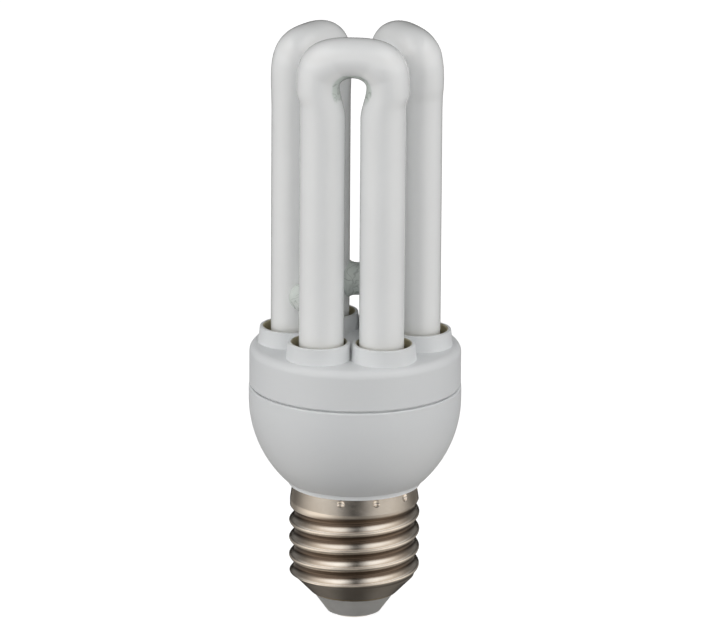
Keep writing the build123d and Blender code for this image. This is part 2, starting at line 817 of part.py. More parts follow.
with BuildPart() as drum_coil:
    with Locations((drum_x, drum_place_y, drum_middle_z)):
        Cylinder(drum_r - drum_coil_gap, drum_height - 2 * drum_flange)
        Cylinder(drum_waist_r, drum_height, mode=Mode.SUBTRACT)
drum_coil.part.label = "drum_coil"
export_step(drum_coil.part, "parts/drum_coil.step")


# Two switching transistors: small moulded bodies, round with a flat towards the lamp's axis
transistor_x = sqrt((edge_circle_r - transistor_r) ** 2 - transistor_y**2)
transistor_top_z = board_under_z - transistor_stand_off
for side, transistor_name in ((-1, "transistor_front"), (1, "transistor_rear")):
    with BuildPart() as transistor:
        with BuildSketch(Plane.XY.offset(transistor_top_z)):
            with Locations((transistor_x, side * transistor_y)):
                Circle(transistor_r)
            with Locations((transistor_x - transistor_flat, side * transistor_y)):
                Rectangle(
                    transistor_r,
                    2 * transistor_r,
                    align=(Align.MAX, Align.CENTER),
                    mode=Mode.SUBTRACT,
                )
        extrude(amount=-transistor_height)
        with BuildSketch(Plane.XY.offset(transistor_top_z)):
            with Locations((transistor_x, side * transistor_y)):
                with GridLocations(0, transistor_lead_pitch, 1, 3):
                    Circle(lead_r)
        extrude(amount=transistor_stand_off)
    transistor.part.label = transistor_name
    export_step(transistor.part, f"parts/{transistor_name}.step")


# Small parts stand on end: a straight lead above the body, and one bent up beside it
def standing_leads(places, body_top_z, body_foot_z, step_in):
    """The two leads of each standing body, for a list of (radius, angle) places."""
    turn_z = body_foot_z - 2 * wire_bend_r
    with BuildPart() as leads:
        for radius, angle in places:
            top = (*polar(radius, angle), body_top_z)
            foot = (*polar(radius, angle), body_foot_z)
            inside = polar(radius - step_in, angle)
            with BuildSketch(Plane(origin=top)):
                Circle(lead_r)
            extrude(amount=board_under_z - body_top_z)
            with BuildLine() as route:
                FilletPolyline(
                    foot,
                    (foot[0], foot[1], turn_z),
                    (*inside, turn_z),
                    (*inside, board_under_z),
                    radius=lead_bend_r,
                )
            with BuildSketch(Plane(origin=foot, z_dir=(0, 0, -1))):
                Circle(lead_r)
            sweep(path=route.line)
    return leads.part


# Rectifier: four diodes, two beyond each transistor
diode_circle_r = edge_circle_r - diode_r
diode_side_y = transistor_y + transistor_r + neighbour_gap + diode_r
diode_angle = degrees(asin(diode_side_y / diode_circle_r))
diode_step = 2 * degrees(asin((diode_r + neighbour_gap / 2) / diode_circle_r))
diode_places = [
    (diode_circle_r, side * (diode_angle + diode_step * place))
    for side in (-1, 1)
    for place in (0, 1)
]
diode_top_z = board_under_z - diode_stand_off
diode_leads = standing_leads(
    diode_places, diode_top_z, diode_top_z - diode_length, diode_r + lead_side_gap
)
with BuildPart() as rectifier_diodes:
    with BuildSketch(Plane.XY.offset(diode_top_z)):
        with Locations(*[polar(*place) for place in diode_places]):
            Circle(diode_r)
    extrude(amount=-diode_length)
    add(diode_leads)
rectifier_diodes.part.label = "rectifier_diodes"
export_step(rectifier_diodes.part, "parts/rectifier_diodes.step")


# Resistors: four bodies with thicker end caps, beside the choke
resistor_circle_r = edge_circle_r - resistor_r
drum_angle = degrees(atan2(drum_place_y, drum_x))
drum_step = 2 * degrees(asin((drum_r + resistor_r + resistor_gap) / 2 / resistor_circle_r))
resistor_step = 2 * degrees(asin((resistor_r + resistor_gap / 2) / resistor_circle_r))
resistor_places = [
    (resistor_circle_r, side * (drum_angle + drum_step + resistor_step * place))
    for side in (-1, 1)
    for place in (0, 1)
]
resistor_top_z = board_under_z - resistor_stand_off
resistor_foot_z = resistor_top_z - resistor_length
resistor_leads = standing_leads(
    resistor_places, resistor_top_z, resistor_foot_z, resistor_r + lead_side_gap
)
with BuildPart() as resistors:
    with BuildSketch(Plane.XY.offset(resistor_top_z)):
        with Locations(*[polar(*place) for place in resistor_places]):
            Circle(resistor_neck_r)
    extrude(amount=-resistor_length)
    for cap_z in (resistor_top_z, resistor_foot_z + resistor_cap_length):
        with BuildSketch(Plane.XY.offset(cap_z)):
            with Locations(*[polar(*place) for place in resistor_places]):
                Circle(resistor_r)
        extrude(amount=-resistor_cap_length)
    add(resistor_leads)
resistors.part.label = "resistors"
export_step(resistors.part, "parts/resistors.step")


# Trigger diode: a small glass diode opposite the choke
trigger_places = [(edge_circle_r - trigger_r, 0)]
trigger_top_z = board_under_z - trigger_stand_off
trigger_leads = standing_leads(
    trigger_places, trigger_top_z, trigger_top_z - trigger_length, trigger_r + lead_side_gap
)
with BuildPart() as trigger_diode:
    with BuildSketch(Plane.XY.offset(trigger_top_z)):
        with Locations(polar(*trigger_places[0])):
            Circle(trigger_r)
    extrude(amount=-trigger_length)
    add(trigger_leads)
trigger_diode.part.label = "trigger_diode"
export_step(trigger_diode.part, "parts/trigger_diode.step")


# Disc capacitor: it stands behind the choke, edge towards the board
disc_x = disc_thickness / 2 - sqrt(edge_circle_r**2 - disc_r**2)
disc_z = board_under_z - disc_stand_off - disc_r
disc_lead_y = disc_r / 2
with BuildPart() as disc_capacitor:
    with BuildSketch(Plane.YZ.offset(disc_x)):
        with Locations((0, disc_z)):
            Circle(disc_r)
    extrude(amount=disc_thickness / 2, both=True)
    fillet(disc_capacitor.edges(), disc_edge_r)
    with BuildSketch(Plane.XY.offset(board_under_z)):
        with Locations((disc_x, 0)):
            with GridLocations(0, 2 * disc_lead_y, 1, 2):
                Circle(lead_r)
    extrude(amount=-(disc_stand_off + disc_r / 2))
disc_capacitor.part.label = "disc_capacitor"
export_step(disc_capacitor.part, "parts/disc_capacitor.step")


# Fusible resistor in the live lead, hanging in the cap
clinch_top_z = insulator_top_z + contact_clinch_height
fuse_foot_z = clinch_top_z + fuse_above_contact
fuse_top_z = fuse_foot_z + fuse_length
with BuildPart() as fusible_resistor:
    with BuildSketch(Plane.XY.offset(fuse_foot_z)):
        with Locations((fuse_x, 0)):
            Circle(fuse_r)
    extrude(amount=fuse_length)
    fillet(fusible_resistor.edges(), fuse_edge_r)
fusible_resistor.part.label = "fusible_resistor"
export_step(fusible_resistor.part, "parts/fusible_resistor.step")

live_x = choke_x + bobbin_flange_x / 2 + live_lead_gap
live_y = -(can_r + live_lead_gap)
live_turn_z = fuse_foot_z - (fuse_foot_z - clinch_top_z) / 2
with BuildPart() as live_lead:
    for points in (
        [
            (live_x, live_y, board_under_z),
            (live_x, live_y, can_foot_z + can_r / 2),
            (fuse_x, 0, fuse_top_z + 2 * wire_bend_r),
            (fuse_x, 0, fuse_top_z),
        ],
        [
            (fuse_x, 0, fuse_foot_z),
            (fuse_x, 0, live_turn_z),
            (0, 0, live_turn_z),
            (0, 0, clinch_top_z),
        ],
    ):
        with BuildLine() as route:
            FilletPolyline(*points, radius=wire_bend_r)
        with BuildSketch(Plane(origin=points[0], z_dir=(0, 0, -1))):
            Circle(wire_r)
        sweep(path=route.line)
live_lead.part.label = "live_lead"
export_step(live_lead.part, "parts/live_lead.step")


# Neutral lead: down inside the neck, round its edge and up between neck and skirt
lead_turn_r = (lead_outer_r - lead_inner_r) / 2
lead_middle_r = (lead_outer_r + lead_inner_r) / 2
lead_plane = Plane(
    origin=(0, 0, 0), x_dir=(*polar(1, neutral_lead_angle), 0), z_dir=(*polar(1, neutral_lead_angle - 90), 0)
)
with BuildPart() as neutral_lead:
    with BuildLine(lead_plane) as route:
        Line((lead_inner_r, board_under_z), (lead_inner_r, neck_foot_z))
        CenterArc((lead_middle_r, neck_foot_z), lead_turn_r, 180, 180)
        Line((lead_outer_r, neck_foot_z), (lead_outer_r, dimple_z))
    with BuildSketch(Plane.XY.offset(board_under_z)):
        with Locations(polar(lead_inner_r, neutral_lead_angle)):
            Circle(wire_r)
    sweep(path=route.line)
neutral_lead.part.label = "neutral_lead"
export_step(neutral_lead.part, "parts/neutral_lead.step")
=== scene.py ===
# %% [markdown]
# # An energy saving bulb
# Three U-bent glass tubes, coated white inside, stand in a moulded plastic housing above a
# nickel-plated screw cap. The shapes come from the CAD model. This lesson adds what CAD doesn't
# have: the camera, the light, a floor, glass with a smooth skin, and a procedural finish for every
# part.
#
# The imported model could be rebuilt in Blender, but loading it keeps every size exact.

# %% Load the CAD model
from math import asin, cos, pi, radians, sin

import bpy
import bmesh
from mathutils import Matrix, Vector


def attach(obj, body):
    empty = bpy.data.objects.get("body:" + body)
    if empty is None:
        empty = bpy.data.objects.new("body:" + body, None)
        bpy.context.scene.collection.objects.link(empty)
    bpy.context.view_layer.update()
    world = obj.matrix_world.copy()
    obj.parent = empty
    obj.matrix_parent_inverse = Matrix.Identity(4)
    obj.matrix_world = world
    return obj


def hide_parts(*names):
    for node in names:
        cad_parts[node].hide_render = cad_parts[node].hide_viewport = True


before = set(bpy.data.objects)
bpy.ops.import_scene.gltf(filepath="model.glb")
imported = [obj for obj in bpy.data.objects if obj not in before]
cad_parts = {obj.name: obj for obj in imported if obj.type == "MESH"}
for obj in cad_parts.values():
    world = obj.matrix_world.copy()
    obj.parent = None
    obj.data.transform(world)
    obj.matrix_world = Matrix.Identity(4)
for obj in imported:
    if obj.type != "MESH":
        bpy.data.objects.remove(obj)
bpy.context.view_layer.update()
MM = 0.001

# %% [markdown]
# ## The camera
# The photograph was taken with a long lens from a little above the lamp and almost straight in
# front of the first U. Its place could be found by eye, but here it was worked out from the
# outlines of the tubes and the cap. An empty could aim the camera, yet a matrix built from three
# directions also holds the slight roll of the picture.


# %% Camera
def add_object(name, data):
    made = bpy.data.objects.new(name, data)
    bpy.context.scene.collection.objects.link(made)
    return made


def towards(azimuth, elevation):
    """A direction from the lamp, with both angles in radians and azimuth 0 at its front."""
    flat = cos(elevation)
    return Vector((sin(azimuth) * flat, -cos(azimuth) * flat, sin(elevation)))


camera_azimuth = radians(4.06)
camera_elevation = radians(16.1)
camera_roll = radians(0.366)
camera_distance = 1.729
camera_target = Vector((-0.0001, 0, 0.0615))
image_width = 710
focal_in_pixels = 8651
sensor_width = 36

camera_data = bpy.data.cameras.new("camera")
camera_data.sensor_width = sensor_width
camera_data.lens = focal_in_pixels / image_width * sensor_width
camera_data.clip_start = 0.1
camera_data.clip_end = 50
camera = add_object("camera", camera_data)
bpy.context.scene.camera = camera

back = towards(camera_azimuth, camera_elevation)
right = Vector((cos(camera_azimuth), sin(camera_azimuth), 0))
up = back.cross(right)
rolled_right = cos(camera_roll) * right + sin(camera_roll) * up
rolled_up = cos(camera_roll) * up - sin(camera_roll) * right
turn = Matrix((rolled_right, rolled_up, back)).transposed().to_4x4()
camera.matrix_world = Matrix.Translation(camera_target + back * camera_distance) @ turn
bpy.context.scene.view_settings.view_transform = "Standard"
print("lens:", round(camera_data.lens, 1), "mm at", [round(x, 3) for x in camera.location])

# %% [markdown]
# ## Helpers for shader nodes
# Every finish below is a small node tree. It could be wired by hand in the shader editor. In code
# it's shorter to have one function that adds a node and connects its inputs, and one that starts
# a material with its Principled shader and the object's own coordinates.


# %% Node helpers
def connect(tree, value, socket):
    if isinstance(value, bpy.types.NodeSocket):
        tree.links.new(value, socket)
    else:
        socket.default_value = value


def node(tree, kind, settings=(), **inputs):
    """A new node; settings are its properties, and inputs its sockets by name."""
    made = tree.nodes.new(kind)
    for name, value in dict(settings).items():
        setattr(made, name, value)
    for name, value in inputs.items():
        connect(tree, value, made.inputs[name.replace("_", " ")])
    return made


def calc(tree, operation, *values):
    """The result of one Math node."""
    made = tree.nodes.new("ShaderNodeMath")
    made.operation = operation
    for value, socket in zip(values, made.inputs):
        connect(tree, value, socket)
    return made.outputs[0]


def product(tree, first, *others):
    for other in others:
        first = calc(tree, "MULTIPLY", first, other)
    return first


def flat_length(tree, x, y):
    """The length of a flat vector."""
    return calc(tree, "SQRT", calc(tree, "ADD", product(tree, x, x), product(tree, y, y)))


def ramp(tree, value, low, high, to_low=0.0, to_high=1.0):
    """A smooth step from to_low to to_high as value goes from low to high."""
    made = node(tree, "ShaderNodeMapRange", {"interpolation_type": "SMOOTHSTEP"})
    for sent, socket in zip((value, low, high, to_low, to_high), made.inputs):
        connect(tree, sent, socket)
    return made.outputs[0]


def mix_colour(tree, share, first, second):
    made = tree.nodes.new("ShaderNodeMix")
    made.data_type = "RGBA"
    for value, socket in ((share, made.inputs[0]), (first, made.inputs[6]), (second, made.inputs[7])):
        connect(tree, value, socket)
    return made.outputs[2]


def xyz(tree, vector):
    return node(tree, "ShaderNodeSeparateXYZ", Vector=vector).outputs


def start_material(name):
    """A material, its tree, its Principled shader and the object's coordinates in metres."""
    material = bpy.data.materials.new(name)
    material.use_nodes = True
    tree = material.node_tree
    shader = tree.nodes["Principled BSDF"]
    place = tree.nodes.new("ShaderNodeTexCoord").outputs["Object"]
    return material, tree, shader, place


def place_group(tree, group, **inputs):
    made = tree.nodes.new("ShaderNodeGroup")
    made.node_tree = group
    for name, value in inputs.items():
        connect(tree, value, made.inputs[name.replace("_", " ")])
    return made.outputs[0]


def give(material, *names):
    """The CAD nodes of these names get this material."""
    for name in names:
        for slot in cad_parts[name].material_slots:
            slot.material = material
    print(material.name, "->", ", ".join(names))


# %% [markdown]
# ## Effects that several materials share
# Moulded plastic, glass and metal are never one flat colour. Three effects come back in most of
# them: a slow drift of the colour, a fine grain in the surface, and specks of dust or wear. Each
# could be painted on, but as a node group it's built once and gets its own values each time.


# %% Shared effects
def new_group(name, inputs, output):
    """A node group; its inputs are (kind, label, default) and its one output (kind, label)."""
    group = bpy.data.node_groups.new(name, "ShaderNodeTree")
    for kind, label, value in inputs:
        socket = group.interface.new_socket(label, in_out="INPUT", socket_type=f"NodeSocket{kind}")
        if value is not None:
            socket.default_value = value
    kind, label = output
    group.interface.new_socket(label, in_out="OUTPUT", socket_type=f"NodeSocket{kind}")
    given = group.nodes.new("NodeGroupInput").outputs
    return group, given, group.nodes.new("NodeGroupOutput").inputs[label]


def colour_drift_group():
    """A colour that drifts slowly between two tones over the surface."""
    group, given, out = new_group(
        "colour drift",
        [("Vector", "Place", None), ("Color", "First", (1, 1, 1, 1)),
         ("Color", "Second", (0.9, 0.9, 0.9, 1)), ("Float", "Scale", 60.0)],
        ("Color", "Color"),
    )
    noise = node(group, "ShaderNodeTexNoise", Vector=given["Place"], Scale=given["Scale"], Detail=3.0)
    share = ramp(group, noise.outputs["Fac"], 0.3, 0.7)
    connect(group, mix_colour(group, share, given["First"], given["Second"]), out)
    return group


def fine_grain_group():
    """The height of a fine moulded grain, for a Bump node."""
    wave_scale = 0.06
    group, given, out = new_group(
        "fine grain",
        [("Vector", "Place", None), ("Float", "Scale", 2500.0), ("Float", "Waviness", 0.3)],
        ("Float", "Height"),
    )
    grain = node(group, "ShaderNodeTexNoise", Vector=given["Place"], Scale=given["Scale"], Detail=2.0)
    waves = node(group, "ShaderNodeTexNoise", Vector=given["Place"],
                 Scale=product(group, given["Scale"], wave_scale), Detail=1.0)
    height = calc(group, "ADD", grain.outputs["Fac"],
                  product(group, waves.outputs["Fac"], given["Waviness"]))
    connect(group, height, out)
    return group


def specks_group():
    """A mask of small sparse specks, 1 on a speck."""
    solid_share = 0.6
    group, given, out = new_group(
        "specks",
        [("Vector", "Place", None), ("Float", "Scale", 300.0), ("Float", "Size", 0.1),
         ("Float", "Share", 0.2)],
        ("Float", "Mask"),
    )
    cells = node(group, "ShaderNodeTexVoronoi", Vector=given["Place"], Scale=given["Scale"])
    draw = node(group, "ShaderNodeSeparateColor", Color=cells.outputs["Color"]).outputs[0]
    chosen = calc(group, "LESS_THAN", draw, given["Share"])
    inside = ramp(group, cells.outputs["Distance"], product(group, given["Size"], solid_share),
                  given["Size"], 1.0, 0.0)
    connect(group, product(group, chosen, inside), out)
    return group


colour_drift = colour_drift_group()
fine_grain = fine_grain_group()
specks = specks_group()
print("shared effects:", [group.name for group in bpy.data.node_groups])

# %% [markdown]
# Two of the effects are always placed in the same way, so each gets a function.

# %% Placing the effects
grain_depth = 0.0001


def two_tones(tree, place, first, second, scale):
    """A colour that drifts between two tones."""
    return place_group(tree, colour_drift, Place=place, First=(*first, 1), Second=(*second, 1), Scale=scale)


def bump(tree, shader, height, relief, depth):
    skin = node(tree, "ShaderNodeBump", Strength=relief, Distance=depth, Height=height)
    connect(tree, skin.outputs["Normal"], shader.inputs["Normal"])


def grained_finish(name, first, second, tone_scale, roughness, metallic, grain_scale, relief):
    """A whole material: two drifting tones and a fine grain."""
    material, tree, shader, place = start_material(name)
    connect(tree, two_tones(tree, place, first, second, tone_scale), shader.inputs["Base Color"])
    bump(tree, shader, place_group(tree, fine_grain, Place=place, Scale=grain_scale), relief, grain_depth)
    shader.inputs["Roughness"].default_value = roughness
    shader.inputs["Metallic"].default_value = metallic
    return material


print("grain depth:", grain_depth / MM, "mm")

# %% [markdown]
# ## The discharge tube
# The real tube is three glass Us. Each was a straight tube, heated in the middle, bent, and blown
# into a mould, which makes the bend squarer and a little fatter than the legs and leaves a small
# keyhole under it. The CAD solid has this form as well, but its bend is a loft of a few sections,
# and a skin as shiny as glass shows each of them. A bevelled curve sweeps only one section. So the
# glass is swept again here, ring by ring, and the outline of its bends follows the photograph,
# where the two rear Us stand about a millimetre lower than the front one.

# %% Sections of one U
tube_r = 4.5 * MM
half_spacing = 6.0 * MM
leg_circle_r = 12.5 * MM
leg_half_angle = asin(half_spacing / leg_circle_r)
u_distance = leg_circle_r * cos(leg_half_angle)
leg_foot_z = 50.2 * MM
foot_fillet = 3.2 * MM
leg_low_z = leg_foot_z + foot_fillet
bend_rise = 9.9 * MM
bend_squareness = 2.76
keyhole_half_width = 2.65 * MM
keyhole_rise = 1.9 * MM
inner_swell = 6.4 * MM
outer_swell = 3.0 * MM
outer_swell_drop = 1.0 * MM
foot_steps, leg_steps, swell_steps, bend_steps = 6, 10, 24, 60
front_u, right_u, left_u = -90, 30, 150
u_tops = {front_u: 121.95 * MM, right_u: 120.95 * MM, left_u: 120.7 * MM}
u_half_widths = {front_u: 11.2 * MM, right_u: 10.85 * MM, left_u: 10.5 * MM}


def smooth(share):
    share = min(1, max(0, share))
    return share * share * (3 - 2 * share)


def rising_sections(top, bend_half_width):
    """Sections of the right leg: distance from the U's middle, height, and half its thickness."""
    keyhole_z = top - bend_rise
    sections = []
    for step in range(foot_steps):
        turn = pi / 2 * step / foot_steps
        radius = tube_r - foot_fillet * (1 - sin(turn))
        sections.append((half_spacing, leg_foot_z + foot_fillet * (1 - cos(turn)), radius))
    leg_high_z = keyhole_z - inner_swell
    for step in range(leg_steps):
        height = leg_low_z + (leg_high_z - leg_low_z) * step / leg_steps
        sections.append((half_spacing, height, tube_r))
    for step in range(swell_steps):
        height = leg_high_z + inner_swell * step / swell_steps
        outer_share = smooth((height - keyhole_z + outer_swell_drop) / outer_swell + 1)
        outer = half_spacing + tube_r + outer_share * (bend_half_width - half_spacing - tube_r)
        inner_share = smooth(step / swell_steps)
        inner = half_spacing - tube_r + inner_share * (keyhole_half_width - half_spacing + tube_r)
        sections.append(((outer + inner) / 2, height, (outer - inner) / 2))
    return sections


def bend_section(angle, top, bend_half_width):
    """The same for the bend, where the section turns about the keyhole by an angle."""
    across, upward = abs(cos(angle)), sin(angle)
    outer = ((across / bend_half_width) ** bend_squareness
             + (upward / bend_rise) ** bend_squareness) ** (-1 / bend_squareness)
    inner = ((across / keyhole_half_width) ** 2 + (upward / keyhole_rise) ** 2) ** -0.5
    middle = (outer + inner) / 2
    return middle * cos(angle), top - bend_rise + middle * upward, (outer - inner) / 2


def u_sections(u_angle):
    """All sections of a U from foot to foot, each with its turn about the keyhole."""
    size = u_tops[u_angle], u_half_widths[u_angle]
    rising = rising_sections(*size)
    bend = [pi * step / bend_steps for step in range(bend_steps + 1)]
    return (
        [(*section, 0.0) for section in rising]
        + [(*bend_section(angle, *size), angle) for angle in bend]
        + [(-side, height, half, pi) for side, height, half in reversed(rising)]
    )


print("sections of a U:", len(u_sections(front_u)))

# %% [markdown]
# Each section becomes a ring of points. A number is kept at each point as well: how clear the
# glass is there. The phosphor lies thin round the keyhole and on the bridges, so one sees greenish
# glass and its creases. A mask by place could find those spots too, but here they're known.

# %% Rings of points
ring_points = 64
clear_from = 0.45
clear_band = 0.4
straight_up = Vector((0, 0, 1))


def directions(angle):
    """The directions outward and round the lamp at an angle in radians."""
    outward = Vector((cos(angle), sin(angle), 0))
    return outward, Vector((-outward.y, outward.x, 0))


def ring(middle, first_axis, second_axis):
    """The points of an ellipse with these half axes, each with its angle."""
    angles = [2 * pi * step / ring_points for step in range(ring_points)]
    return [(middle + first_axis * cos(a) + second_axis * sin(a), a) for a in angles]


def u_rings(u_angle):
    """The rings of a U, as (position, clearness) pairs."""
    outward, along = directions(radians(u_angle))
    keyhole_z = u_tops[u_angle] - bend_rise
    rings = []
    for side, height, half, turn in u_sections(u_angle):
        middle = outward * u_distance + along * side + straight_up * height
        away = along * cos(turn) + straight_up * sin(turn)
        depth = half if height < leg_low_z else max(tube_r, half)
        near = smooth(1 - (keyhole_z - height) / inner_swell)
        rings.append([
            (position, near * smooth((-sin(angle) - clear_from) / clear_band))
            for position, angle in ring(middle, outward * depth, away * half)
        ])
    return rings


def add_skin(mesh, rings, clear_layer):
    """A closed skin over rings of (position, clearness) pairs."""
    rows = []
    for pairs in rings:
        row = []
        for position, clearness in pairs:
            point = mesh.verts.new(position)
            point[clear_layer] = clearness
            row.append(point)
        rows.append(row)
    for low, high in zip(rows, rows[1:]):
        for here in range(ring_points):
            there = (here + 1) % ring_points
            mesh.faces.new((low[here], low[there], high[there], high[here]))
    mesh.faces.new(rows[0][::-1])
    mesh.faces.new(rows[-1])


print("points of a U:", sum(len(pairs) for pairs in u_rings(front_u)))

# %% [markdown]
# The bridges are short tubes, drawn out of the hot glass of both neighbours, so each is a little
# waisted with a fillet where it meets a leg. The rear one is wider than the left one. Under the
# legs are the pinched feet that hold the electrodes and the sealed tips of the exhaust tubes.

# %% Bridges and feet
bridge_z = 66.7 * MM
neighbour_half_angle = radians(60) - leg_half_angle
bridge_circle_r = leg_circle_r * cos(neighbour_half_angle)
bridge_profile = [(4.3, 0.55), (3.2, 0.98), (2.4, 1.12), (2.0, 1.13), (1.6, 1.05), (1.1, 1.01),
                  (0.5, 1.0)]
bridge_waists = {90: 3.3 * MM, 210: 2.6 * MM}
pinch_half_width = 2.8 * MM
pinch_half_thickness = 1.0 * MM
exhaust_r = 1.6 * MM
stub_profile = [(1.6 * MM, 0.7), (1.3 * MM, 0.95), (0.0, 1.0), (-2 * MM, 1.0)]


def bridge_rings(bridge_angle):
    """Rings along a bridge; its profile gives distances from the middle and shares of the waist."""
    outward, along = directions(radians(bridge_angle))
    middle = outward * bridge_circle_r + straight_up * bridge_z
    profile = [(-place, share) for place, share in bridge_profile] + bridge_profile[::-1]
    rings = []
    for place, share in profile:
        radius = bridge_waists[bridge_angle] * share
        points = ring(middle + along * place * MM, outward * radius, straight_up * radius)
        rings.append([(position, 1.0) for position, angle in points])
    return rings


def stub_rings(leg_angle, wide, thick):
    """Rings of the stub under a leg, wide round the lamp and thick towards its middle."""
    outward, along = directions(leg_angle)
    rings = []
    for drop, share in stub_profile:
        middle = outward * leg_circle_r + straight_up * (leg_foot_z - drop)
        points = ring(middle, along * wide * share, outward * thick * share)
        rings.append([(position, 0.0) for position, angle in points])
    return rings


tube_mesh = bmesh.new()
clear_layer = tube_mesh.verts.layers.float.new("clearness")
skins = [u_rings(u_angle) for u_angle in u_tops] + [bridge_rings(angle) for angle in bridge_waists]
for leg_angle in (radians(front_u) + leg_half_angle, radians(right_u) - leg_half_angle):
    skins.append(stub_rings(leg_angle, pinch_half_width, pinch_half_thickness))
for leg_angle in (radians(front_u) - leg_half_angle, radians(left_u) + leg_half_angle):
    skins.append(stub_rings(leg_angle, exhaust_r, exhaust_r))
for rings in skins:
    add_skin(tube_mesh, rings, clear_layer)
bmesh.ops.recalc_face_normals(tube_mesh, faces=tube_mesh.faces)
for face in tube_mesh.faces:
    face.smooth = len(face.verts) == 4
mesh = bpy.data.meshes.new("glass_tubes")
tube_mesh.to_mesh(mesh)
tube_mesh.free()
glass_tubes = add_object("glass_tubes", mesh)
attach(glass_tubes, "root")
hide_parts("discharge_tube")
top_z = max(point.co.z for point in mesh.vertices)
print("glass:", len(mesh.polygons), "faces, top at", round(top_z / MM, 2), "mm")

# %% [markdown]
# ## Coated glass
# The tubes are clear glass with a white phosphor powder baked onto the inside. From outside one
# sees a soft white body under a glossy skin, a little greyer where the eye looks along the glass.
# Real refraction could do this with two nested meshes, but it's slow and noisy. A white base
# under a full clear coat gives the same picture, and a Layer Weight greys the skin at its edges.

# %% Coated glass
glass_ior = 1.5
material, tree, shader, place = start_material("coated glass")
powder = two_tones(tree, place, (0.93, 0.94, 0.94), (0.90, 0.91, 0.91), 45.0)
edge = node(tree, "ShaderNodeLayerWeight", Blend=0.5)
grey_edge = ramp(tree, edge.outputs["Facing"], 0.80, 0.98, 0.0, 0.85)
body = mix_colour(tree, grey_edge, powder, (0.16, 0.17, 0.175, 1))
clearness = node(tree, "ShaderNodeAttribute", {"attribute_name": "clearness"}).outputs["Fac"]
waves = node(tree, "ShaderNodeTexNoise", Vector=place, Scale=420.0, Detail=2.0)
uneven = calc(tree, "ADD", clearness, product(tree, waves.outputs["Fac"], 0.5))
thin_powder = ramp(tree, uneven, 0.75, 1.15)
body = mix_colour(tree, thin_powder, body, (0.70, 0.75, 0.71, 1))
# Painted shade: thin dark lines follow the folds in the glass where the powder is thin.
folds = node(tree, "ShaderNodeTexNoise", Vector=place, Scale=310.0, Detail=1.0, Distortion=1.5)
from_fold = calc(tree, "ABSOLUTE", calc(tree, "SUBTRACT", folds.outputs["Fac"], 0.5))
fold_shade_line = ramp(tree, from_fold, 0.006, 0.05, 0.4, 0.0)
body = mix_colour(tree, product(tree, fold_shade_line, thin_powder), body, (0.20, 0.23, 0.21, 1))
connect(tree, body, shader.inputs["Base Color"])
shader.inputs["Roughness"].default_value = 0.5
shader.inputs["Coat Weight"].default_value = 1.0
shader.inputs["Coat Roughness"].default_value = 0.04
shader.inputs["Coat IOR"].default_value = glass_ior
ripple = node(tree, "ShaderNodeTexNoise", Vector=place, Scale=90.0, Detail=1.0)
bump(tree, shader, ripple.outputs["Fac"], 0.06, 0.0005)
glass_tubes.data.materials.append(material)
give(material, "discharge_tube")

# %% [markdown]
# ## White plastic
# The cover and the lower housing are moulded in a flame-proof white plastic with a fine satin
# grain. Inside the collars, where the tubes are glued in, painted shade turns the plastic a darker
# olive. The sockets could be a separate mesh, but a mask by place in the same material can't leave
# a seam. The six collars stand evenly round the lamp, so the angle is folded onto one of them.

# %% White plastic
collar_count = 6
collar_circle_r = 12.95 * MM
collar_bore_r = 5.4 * MM
socket_from_r = collar_bore_r + 0.1 * MM
socket_to_r = collar_bore_r + 0.35 * MM
cover_foot_z = 46.0 * MM
plastic_ior = 1.5


def from_nearest_collar(tree, x, y):
    """The distance from the middle of the nearest collar."""
    angle = calc(tree, "ARCTAN2", y, x)
    pitch = 2 * pi / collar_count
    whole_pitches = calc(tree, "ROUND", calc(tree, "DIVIDE", angle, pitch))
    folded = calc(tree, "SUBTRACT", angle, product(tree, whole_pitches, pitch))
    distance = flat_length(tree, x, y)
    across = product(tree, distance, calc(tree, "SINE", folded))
    outward = product(tree, distance, calc(tree, "COSINE", folded))
    return flat_length(tree, calc(tree, "SUBTRACT", outward, collar_circle_r), across)


material, tree, shader, place = start_material("white plastic")
body = two_tones(tree, place, (0.80, 0.815, 0.82), (0.78, 0.795, 0.805), 50.0)
dust = place_group(tree, specks, Place=place, Scale=330.0, Size=0.13, Share=0.012)
dusted = mix_colour(tree, dust, body, (0.42, 0.42, 0.41, 1))
parts = xyz(tree, place)
from_collar = from_nearest_collar(tree, parts["X"], parts["Y"])
# Painted shade: inside each socket the colour turns a dark olive.
in_socket = ramp(tree, from_collar, socket_from_r, socket_to_r, 1.0, 0.0)
above_seam = calc(tree, "GREATER_THAN", parts["Z"], cover_foot_z)
socket_shade_share = product(tree, in_socket, above_seam)
connect(tree, mix_colour(tree, socket_shade_share, dusted, (0.40, 0.36, 0.24, 1)), shader.inputs["Base Color"])
bump(tree, shader, place_group(tree, fine_grain, Place=place, Scale=2600.0), 0.12, grain_depth)
shader.inputs["Roughness"].default_value = 0.42
shader.inputs["IOR"].default_value = plastic_ior
give(material, "tube_cover", "lower_housing")
